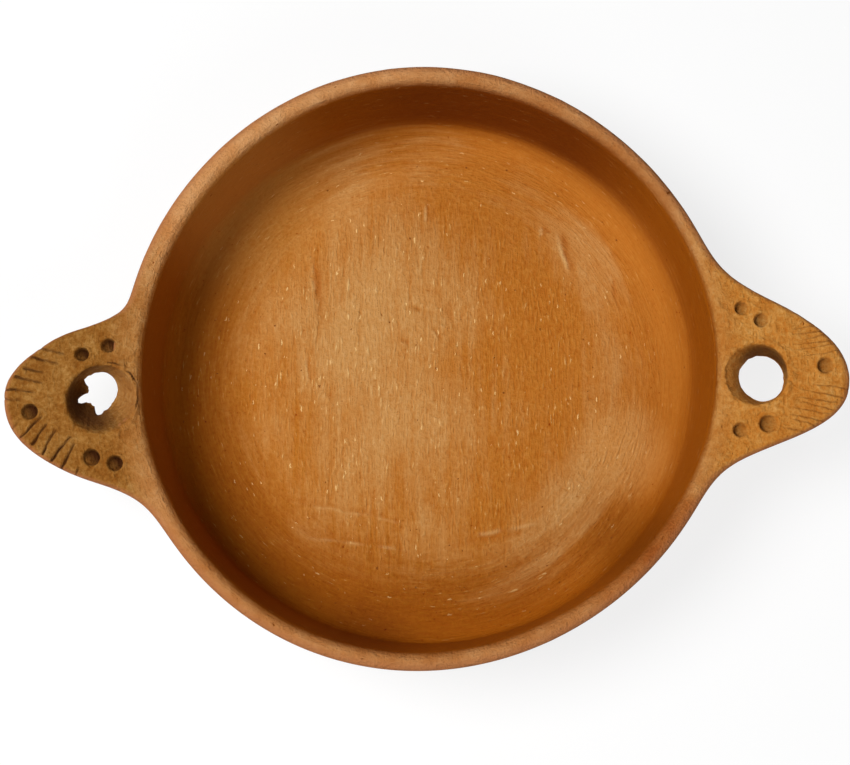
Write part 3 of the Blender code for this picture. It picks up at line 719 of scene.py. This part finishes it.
# Knife strokes, given out from the rim and anticlockwise of the tip in mm: the first stroke's start and
# end, the last stroke's start and end, how many, how wide and how deep.
FANS = {
    "left": (
        ((21.0, -17.0), (32.5, -21.8), (38.0, 1.0), (50.5, -0.8), 6, 1.7, 1.2),
        ((33.5, 7.0), (42.8, 15.8), (18.0, 20.0), (26.8, 31.5), 5, 1.7, 1.5),
        ((40.0, 8.5), (45.5, 12.0), (18.5, 29.7), (21.5, 34.0), 2, 1.3, 0.8),
    ),
    "right": (
        ((25.0, 21.5), (37.5, 24.0), (27.5, 10.5), (44.0, 13.5), 6, 1.0, 0.45),
        ((31.5, -1.0), (51.0, -3.5), (22.5, -19.5), (33.5, -22.0), 8, 1.0, 0.55),
    ),
}
# Foot of the finger hole, where the stick came out: bearing in degrees and size in mm. On the left it tore
# burrs.
BURRS = {
    "left": (
        *((15, 8.4), (41, 9.1), (67, 9.8), (90, 8.9), (115, 8.2), (137, 8.2), (144, 6.6), (149, 4.9)),
        *((167, 3.9), (184, 4.1), (194, 7.1), (200, 8.7), (209, 9.4), (215, 8.4), (221, 6.3), (237, 5.5)),
        *((258, 6.2), (266, 9.0), (271, 10.1), (280, 9.9), (288, 8.4), (306, 8.0), (321, 7.5), (350, 7.8)),
    ),
    "right": (
        *((0, 9.3), (60, 9.7), (100, 9.9), (140, 9.6), (190, 10.0), (235, 10.2), (270, 10.6), (320, 10.2)),
    ),
}


def leave_lug(lug, angles):
    """How far from the middle of the hole's mouth each line of sight leaves the lug, found by stepping
    outwards: at its edge, at a tail, or at the lip inside the rim."""
    x, y, _ = lug["mouth"]
    steps = np.linspace(0.0, 80 * MM, 3200)[:, None]
    plan_x, plan_y = x + steps * np.cos(angles), y + steps * np.sin(angles)
    radius, bearing = np.hypot(plan_x, plan_y), np.arctan2(plan_y, plan_x)
    edge = rim_outline(bearing) + bell(lug, bearing)
    lip = inside(bearing, np.full_like(bearing, RIM_TOP)) + lug["lip"]
    on_it = (radius < edge) & (radius > lip) & (on_lug(lug, bearing) > 0)
    return steps[np.argmin(on_it, axis=0), 0]


def lug_angles(lug, count):
    """Angles round the hole, spread so that they cut the lug's edge at even distances and the lip more
    sparsely."""
    angles = np.linspace(-np.pi, np.pi, 1441)
    reach = leave_lug(lug, angles)
    x = lug["mouth"][0] + reach * np.cos(angles)
    y = lug["mouth"][1] + reach * np.sin(angles)
    bearing = np.arctan2(y, x)
    at_edge = np.hypot(x, y) > rim_outline(bearing) + bell(lug, bearing) - 0.5 * MM
    length = np.hypot(np.diff(x), np.diff(y)) * np.where(at_edge[1:], 1.0, 0.4) + 0.05 * MM
    run = np.concatenate([[0.0], np.cumsum(length)])
    return np.interp(np.linspace(0.0, run[-1], count, endpoint=False), run, angles)


def pressed(plan, dots, lug):
    """Depth of the dots and their painted shade, darkest on the side to which the stick leaned: round cups,
    deeper on that side, each with a low raised ring pushed up round it."""
    depth, shade = 0.0, 0.0
    for x, y, size in dots:
        aside, ahead = (plan[..., 0] - x * MM) / (size * MM), (plan[..., 1] - y * MM) / (size * MM)
        away = np.hypot(aside, ahead)
        tilt = aside * np.cos(lug["lean"]) + ahead * np.sin(lug["lean"])
        cup = 1 - rise(0.74, 1.04, away)
        ring = 0.25 * MM * np.exp(-(((away - 1.2) / 0.14) ** 2))
        depth = depth + lug["press"] * cup * (3.2 + 2.0 * tilt) * MM - ring
        shade = np.maximum(shade, lug["press"] * cup * np.clip(0.8 + 0.6 * tilt, 0.0, 1.0))
    return depth, shade


def scored(lug, plan, fans):
    """Depth of the knife strokes and their painted shade: V cuts that start shallow and deepen to the edge,
    with low burrs beside them. Each strays a little from its place in the fan."""
    cosine, sine = np.cos(lug["bearing"]), np.sin(lug["bearing"])
    out = plan[..., 0] * cosine + plan[..., 1] * sine - RIM_RADIUS
    side = plan[..., 1] * cosine - plan[..., 0] * sine
    flat = plan * (1, 1, 0)
    wander = 0.45 * MM * lumps(flat, 6 * MM, 21) + 0.2 * MM * lumps(flat, 2 * MM, 33)
    broken = 0.7 + 0.3 * rise(-0.5, 0.1, lumps(flat, 4 * MM, 34))
    depth, shade = 0.0, 0.0
    for first_start, first_end, last_start, last_end, count, width, deepest in fans:
        for turn, share in enumerate(np.linspace(0.0, 1.0, count)):
            start = np.array(first_start) + (np.array(last_start) - first_start) * share
            end = np.array(first_end) + (np.array(last_end) - first_end) * share
            start = MM * (start + (1.8 * np.sin(4.1 * turn + count), 0.5 * np.sin(2.3 * turn)))
            end = MM * (end + (1.0 * np.sin(5.3 * turn), 0.4 * np.sin(3.1 * turn + 1)))
            length = np.hypot(*(end - start))
            ahead = (end - start) / length
            along = (out - start[0]) * ahead[0] + (side - start[1]) * ahead[1]
            across = (side - start[1]) * ahead[0] - (out - start[0]) * ahead[1] + wander
            apart = np.abs(across) / (width * MM / 2)
            open_part = rise(0.0, 2.5 * MM, along) * (1 - rise(length, length + 1.5 * MM, along)) * broken
            taper = 0.55 + 0.45 * rise(0.0, length, along)
            cut = np.clip(1 - apart, 0.0, 1.0) * open_part * taper
            burr = np.exp(-(((apart - 1.5) / 0.45) ** 2)) * open_part
            depth = np.maximum(depth, cut * deepest * MM) - 0.2 * MM * burr * (depth <= 0)
            shade = np.maximum(shade, rise(0.05, 0.75, cut) * min(1.0, 0.1 + 0.55 * deepest))
    return depth, shade


def lug_grid(lug, dots, fans, burrs):
    """A lug as rows round its finger hole: out across the top, down the edge, back along the underside and up
    the hole's wall. Each column runs from the hole to where its line of sight leaves the lug. Gives the rows,
    turned so that faces point outward, and the masks of painted shade in its hollows, worn edge and raw clay."""
    angles = lug_angles(lug, LUG_COLUMNS)
    reach = leave_lug(lug, angles)
    ray = np.stack([np.cos(angles), np.sin(angles), 0 * angles], axis=-1)
    mouth = np.array([*lug["mouth"][:2], 0.0])
    foot = np.array([*lug["foot"][:2], 0.0])
    uneven = 0.6 * MM * lumps(40 * MM * ray, 32 * MM, 22) + 0.12 * MM * lumps(40 * MM * ray, 13 * MM, 23)
    mouth_size = lug["mouth"][2] + uneven
    limit = mouth + ray * reach[:, None]

    def edge_of(plan):
        """Radius of the lug's edge at the bearing of each point, and that bearing."""
        bearing = np.arctan2(plan[..., 1], plan[..., 0])
        return rim_outline(bearing) + bell(lug, bearing), bearing

    def depth_of(bearing):
        """Share of the full reach at a bearing, and the lug's depth there at the wall and at its edge."""
        bulge = bell(lug, bearing) / LUG_REACH
        root = LUG_TAIL_DEPTH + (LUG_ROOT - LUG_TAIL_DEPTH) * np.sqrt(bulge)
        return bulge, root, np.minimum(LUG_TIP, root)

    # Top: dots, strokes, sandy grit, a collar pushed up round the hole, a crack where it pulled off the rim
    spread = np.linspace(0.0, 1.0, TOP_ROWS)[:, None]
    spread = 0.55 * spread + 0.45 * np.sin(spread * np.pi / 2)
    plan = mouth + ray * (mouth_size + (reach - mouth_size) * spread)[..., None]
    edge, _ = edge_of(plan)
    hole_near = np.hypot(plan[..., 0] - mouth[0], plan[..., 1] - mouth[1]) - mouth_size
    dents, dark_dots = pressed(plan, dots, lug)
    cuts, dark_cuts = scored(lug, plan, fans)
    grit = 0.16 * MM * lumps(plan, 1.7 * MM, 24) + 0.26 * MM * lumps(plan, 3.4 * MM, 25)
    grit = grit + 0.4 * MM * lumps(plan, 1.4 * MM, 35) * np.exp(-((hole_near / (2.5 * MM)) ** 2))
    collar = 0.6 * MM * np.exp(-(((hole_near - 1.6 * MM) / (1.3 * MM)) ** 2))
    ragged = 0.9 * MM * lumps(plan, 5 * MM, 30) + 0.5 * MM * lumps(plan, 2 * MM, 31)
    torn = hole_near - lug["crack"] + ragged
    crack = np.exp(-((torn / (0.4 * MM)) ** 2)) * rise(0.55, 0.8, np.cos(angles - 0.6))
    crack = crack * rise(-0.5, 0.4, lumps(plan, 4 * MM, 32))
    lip_drop = 0.5 * MM * np.clip(1 - hole_near / (0.7 * MM), 0.0, 1.0) ** 2
    top = top_height(plan, edge) + LUTING - dents - cuts + grit + collar - lip_drop - 0.9 * MM * crack
    top_grid = np.concatenate([plan[..., :2], top[..., None]], axis=-1)

    # Edge, down to the underside's round, or a shallow step where the lug is buried in the rim
    limit_edge, limit_bearing = edge_of(limit)
    _, _, thick = depth_of(limit_bearing)
    at_edge = np.hypot(limit[:, 0], limit[:, 1]) > limit_edge - 0.4 * MM
    low = np.where(at_edge, top[-1] - thick + SHOULDER[1] + UNDER_ROUND[1], top[-1] - 2.0 * MM)
    side_shares = np.linspace(0.0, 1.0, SIDE_ROWS)[1:, None]
    side_height = top[-1] + (low - top[-1]) * side_shares
    side_plan = np.broadcast_to(limit, (len(side_shares), *limit.shape))
    side_grid = np.concatenate([side_plan[..., :2], side_height[..., None]], axis=-1)

    # Underside: deeper towards the wall, rounded up to the edge, in to the torn foot of the hole
    bearings, sizes = np.transpose(burrs)
    foot_size = np.interp(np.degrees(angles), bearings, sizes, period=360) * MM
    burr = foot_size - lug["foot"][2] + 0.2 * MM * lumps(40 * MM * ray, 7 * MM, 26)
    foot_edge = foot + ray * (lug["foot"][2] + burr)[:, None]
    back = np.linspace(0.0, 1.0, UNDER_ROWS)[1:, None]
    back = 0.5 * back + 0.5 * (1 - np.cos(back * np.pi / 2))
    under_plan = limit + (foot_edge - limit) * back[..., None]
    under_edge, under_bearing = edge_of(under_plan)
    under_radius = np.hypot(under_plan[..., 0], under_plan[..., 1])
    inwards = np.clip((under_edge - under_radius) / np.maximum(under_edge - RIM_RADIUS, 5 * MM), 0.0, 1.0)
    bulge, root, thick = depth_of(under_bearing)
    depth = thick + (root - thick) * inwards
    short = np.clip(1 - (under_edge - under_radius) / UNDER_ROUND[0], 0.0, 1.0)
    rounded = UNDER_ROUND[1] * (1 - np.sqrt(1 - short**2))
    under = RIM_TOP + LUG_RISE * (1 - inwards) * bulge - depth + rounded
    under = under + 0.35 * MM * lumps(under_plan, 9 * MM, 28)
    hidden = np.where(at_edge, 1.0, rise(0.0, 0.7, back))
    under = low + (under - low) * hidden
    under_grid = np.concatenate([under_plan[..., :2], under[..., None]], axis=-1)

    # Wall of the hole: from the foot, past its burrs, flaring up to the mouth
    climb = np.linspace(0.0, 1.0, HOLE_ROWS)[1:-1, None]
    wall_top = top_grid[0]
    wall_low = under_grid[-1]
    inwards = rise(-0.2, 0.9, -np.cos(angles - lug["bearing"]))
    flare = climb ** (lug["flares"][1] + (lug["flares"][0] - lug["flares"][1]) * inwards)
    smooth_low = wall_low - ray * burr[:, None]
    wall = smooth_low + (wall_top - smooth_low) * np.stack([flare, flare, climb + 0 * flare], axis=-1)
    scrape = 0.3 * MM * lumps(wall * (1, 1, 3), 4 * MM, 29) * np.sin(np.pi * climb)
    wall = wall + ray * (scrape + burr * (1 - climb) ** 9)[..., None]

    # Masks: painted shade in dots, strokes, crack and on one side of the hole's wall, worn along the edge,
    # raw all over
    grid = np.concatenate([top_grid, side_grid, under_grid, wall])
    painted_hollow_shade = np.zeros(grid.shape[:2])
    painted_hollow_shade[: len(top_grid)] = np.maximum.reduce([dark_dots, dark_cuts, 0.9 * crack])
    shaded_wall = rise(-0.3, 0.9, np.cos(angles - lug["shade_bearing"]))
    painted_hollow_shade[-len(wall) :] = 0.8 * shaded_wall * (1 - climb**7)
    all_edge, _ = edge_of(grid)
    worn = 0.85 * rise(-3.4 * MM, -0.2 * MM, np.hypot(grid[..., 0], grid[..., 1]) - all_edge)
    masks = {"painted_hollow_shade": painted_hollow_shade, "edge": worn, "raw": np.ones_like(worn)}
    return grid[::-1], {name: mask[::-1] for name, mask in masks.items()}


for side, lug in LUGS.items():
    grid, masks = lug_grid(lug, DOTS[side], FANS[side], BURRS[side])
    clay_piece(f"{side}_handle", grid, f"{side}_lug", "lug_clay", sandy_clay, sharp=70, **masks)

# Camera, light and floor
# The dish is seen from almost straight above, a little from the near side, under a soft lamp high on the
# left and a weak one from the near right, standing on a plain white floor.
EYE = (12.0 * MM, -104.8 * MM, RIM_TOP + 700 * MM)
EYE_TURN = (0.135626, 0.015639, 0.0)
FOCAL_PIXELS = 1665.5
FRAME_PIXELS = 850
camera = bpy.data.objects.new("camera", bpy.data.cameras.new("camera"))
camera.location = EYE
camera.rotation_mode = "YXZ"
camera.rotation_euler = EYE_TURN
camera.data.sensor_width = 36.0
camera.data.lens = camera.data.sensor_width * FOCAL_PIXELS / FRAME_PIXELS
bpy.context.scene.collection.objects.link(camera)
bpy.context.scene.camera = camera

LAMP_DISTANCE = 1.3
LAMP_SIZE = 0.7
LAMP_WATTS = 19.8
LAMP_BEARING, LAMP_ELEVATION = np.radians(176), np.radians(62)
FILL_SHARE = 1 / 3.8
FILL_BEARING = -1.1
FILL_REACH = 0.7 * LAMP_DISTANCE
lamp = bpy.data.objects.new("lamp", bpy.data.lights.new("lamp", "AREA"))
lamp.data.shape = "DISK"
lamp.data.size = LAMP_SIZE
lamp.data.energy = LAMP_WATTS
level_reach = LAMP_DISTANCE * np.cos(LAMP_ELEVATION)
lamp.location = around(level_reach, LAMP_BEARING, LAMP_DISTANCE * np.sin(LAMP_ELEVATION))
lamp.rotation_euler = (0.0, np.pi / 2 - LAMP_ELEVATION, LAMP_BEARING)
bpy.context.scene.collection.objects.link(lamp)
fill = bpy.data.objects.new("fill", lamp.data.copy())
fill.data.energy = LAMP_WATTS * FILL_SHARE
fill.location = around(FILL_REACH, FILL_BEARING, FILL_REACH)
fill.rotation_euler = (0.0, np.pi / 4, FILL_BEARING)
bpy.context.scene.collection.objects.link(fill)

SKY_LIGHT = 0.06
GROUND_HALF = 3.0
GROUND_DROP = 0.2 * MM
GROUND_GLOW = 0.8


def seen_plainly(tree):
    """1 where the camera, a reflection or a see-through ray looks, 0 where light is on its way."""
    ways = add(tree, "LightPath").outputs
    seen = add(tree, "Math", {0: ways["Is Camera Ray"], 1: ways["Is Glossy Ray"]}, operation="MAXIMUM")
    return add(tree, "Math", {0: seen, 1: ways["Is Transmission Ray"]}, operation="MAXIMUM")


world = bpy.data.worlds.new("studio")
bpy.context.scene.world = world
world.use_nodes = True
sky = world.node_tree
strength = add(sky, "MapRange", {0: seen_plainly(sky), 3: SKY_LIGHT, 4: 1.0})
sky.links.new(strength.outputs[0], sky.nodes["Background"].inputs["Strength"])
sky.nodes["Background"].inputs["Color"].default_value = (1.0, 1.0, 1.0, 1.0)

ground_mesh = bpy.data.meshes.new("ground")
corners = np.array([(-1, -1), (1, -1), (1, 1), (-1, 1)]) * GROUND_HALF
corners = np.column_stack([corners, np.full(4, -GROUND_DROP)]).tolist()
ground_mesh.from_pydata(corners, [], [(0, 1, 2, 3)])
ground = bpy.data.objects.new("ground", ground_mesh)
bpy.context.scene.collection.objects.link(ground)
# White paper: a matte seamless roll, lit so brightly that it shows almost evenly white and keeps only a faint
# shadow of the dish.
paper = bpy.data.materials.new("white_paper")
paper.use_nodes = True
sheet = paper.node_tree
sheet.nodes["Principled BSDF"].inputs["Base Color"].default_value = (0.8, 0.8, 0.8, 1.0)
sheet.nodes["Principled BSDF"].inputs["Roughness"].default_value = 0.9
glow = add(sheet, "Emission", {"Color": (1.0, 1.0, 1.0, 1.0), "Strength": 1.0})
seen = add(sheet, "Math", {0: seen_plainly(sheet), 1: GROUND_GLOW}, operation="MULTIPLY")
blend = add(sheet, "MixShader", {0: seen, 1: sheet.nodes["Principled BSDF"], 2: glow})
sheet.links.new(blend.outputs[0], sheet.nodes["Material Output"].inputs["Surface"])
ground_mesh.materials.append(paper)

bpy.context.scene.view_settings.view_transform = "Standard"
